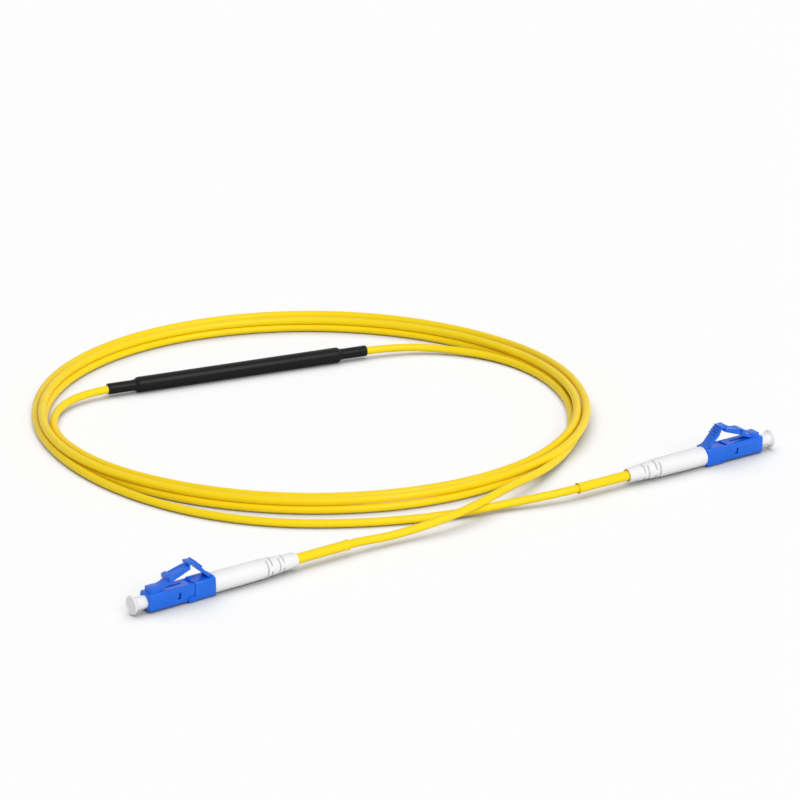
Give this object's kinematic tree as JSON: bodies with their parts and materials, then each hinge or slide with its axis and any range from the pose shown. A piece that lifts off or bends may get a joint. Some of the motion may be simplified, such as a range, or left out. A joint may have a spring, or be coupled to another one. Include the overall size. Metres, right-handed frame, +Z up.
{
  "type": "fibre test cable",
  "caption": "Coiled yellow fibre test cable with a latched small-form plug at each end and a black in-line attenuator, used to check optical links.",
  "frame": {"origin": "centre of the box round the two plugs and the attenuator, on the plane that the cable lies on", "axes": "+Z up, +X to the right and +Y away from the viewer as in the picture"},
  "size_m": [0.2033, 0.2169, 0.0105],
  "materials": {
    "yellow_jacket": "satin extruded jacket",
    "blue_plastic": "satin moulded",
    "white_boot": "matt moulded elastomer",
    "white_cap": "matt moulded",
    "zirconia": "polished",
    "nickel_plate": "bright turned",
    "spring_steel": "bright drawn",
    "black_sleeve": "satin heat-shrunk",
    "buffer_coat": "satin"
  },
  "bodies": {
    "cable": {"front_housing_a": "blue_plastic", "rear_collar_a": "blue_plastic", "ferrule_spring_a": "spring_steel", "crimp_body_a": "nickel_plate", "crimp_sleeve_a": "nickel_plate", "boot_a": "white_boot", "strain_sleeve_a": "yellow_jacket", "jacket_end_a": "yellow_jacket", "buffered_fibre_a": "buffer_coat", "front_housing_b": "blue_plastic", "rear_collar_b": "blue_plastic", "ferrule_spring_b": "spring_steel", "crimp_body_b": "nickel_plate", "crimp_sleeve_b": "nickel_plate", "boot_b": "white_boot", "strain_sleeve_b": "yellow_jacket", "jacket_end_b": "yellow_jacket", "buffered_fibre_b": "buffer_coat", "cable_lead_a": "yellow_jacket", "cable_lead_b": "yellow_jacket", "cable_coil": "yellow_jacket", "cable_strand_left": "yellow_jacket", "cable_strand_right": "yellow_jacket", "shrink_sleeve": "black_sleeve", "attenuator_tube": "nickel_plate", "attenuating_fibre": "buffer_coat"},
    "latch_a": {"latch_lever_a": "blue_plastic"},
    "trigger_a": {"trigger_lever_a": "blue_plastic"},
    "cap_a": {"dust_cap_a": "white_cap"},
    "ferrule_a": {"ferrule_a": "zirconia", "ferrule_flange_a": "nickel_plate"},
    "latch_b": {"latch_lever_b": "blue_plastic"},
    "trigger_b": {"trigger_lever_b": "blue_plastic"},
    "cap_b": {"dust_cap_b": "white_cap"},
    "ferrule_b": {"ferrule_b": "zirconia", "ferrule_flange_b": "nickel_plate"}
  },
  "joints": [
    {"name": "trigger_a_press", "type": "hinge", "parent": "cable", "child": "trigger_a", "pos_m": [-0.05618, -0.0773, 0.0056], "axis": [0.5736, -0.8192, 0], "range_deg": [0, 12], "stiffness_Nm_per_rad": 0.02},
    {"name": "latch_a_press", "type": "hinge", "parent": "cable", "child": "latch_a", "pos_m": [-0.0674, -0.08516, 0.00552], "axis": [-0.5736, 0.8192, 0], "range_deg": [0, 7.5]},
    {"name": "cap_a_pull", "type": "slide", "parent": "cable", "child": "cap_a", "axis": [-0.8192, -0.5736, 0], "range_m": [0, 0.01]},
    {"name": "ferrule_a_float", "type": "slide", "parent": "cable", "child": "ferrule_a", "axis": [0.8192, 0.5736, 0], "range_m": [0, 0.0008], "stiffness_N_per_m": 2500, "deforming": ["ferrule_spring_a"]},
    {"name": "trigger_b_press", "type": "hinge", "parent": "cable", "child": "trigger_b", "pos_m": [0.07354, 0.00632, 0.0056], "axis": [-0.5446, 0.8387, 0], "range_deg": [0, 12], "stiffness_Nm_per_rad": 0.02},
    {"name": "latch_b_press", "type": "hinge", "parent": "cable", "child": "latch_b", "pos_m": [0.08503, 0.01378, 0.00552], "axis": [0.5446, -0.8387, 0], "range_deg": [0, 7.5]},
    {"name": "cap_b_pull", "type": "slide", "parent": "cable", "child": "cap_b", "axis": [0.8387, 0.5446, 0], "range_m": [0, 0.01]},
    {"name": "ferrule_b_float", "type": "slide", "parent": "cable", "child": "ferrule_b", "axis": [-0.8387, -0.5446, 0], "range_m": [0, 0.0008], "stiffness_N_per_m": 2500, "deforming": ["ferrule_spring_b"]}
  ],
  "couplings": [
    {"joint": "latch_a_press", "follows": "trigger_a_press", "ratio": 0.625},
    {"joint": "latch_b_press", "follows": "trigger_b_press", "ratio": 0.625}
  ]
}
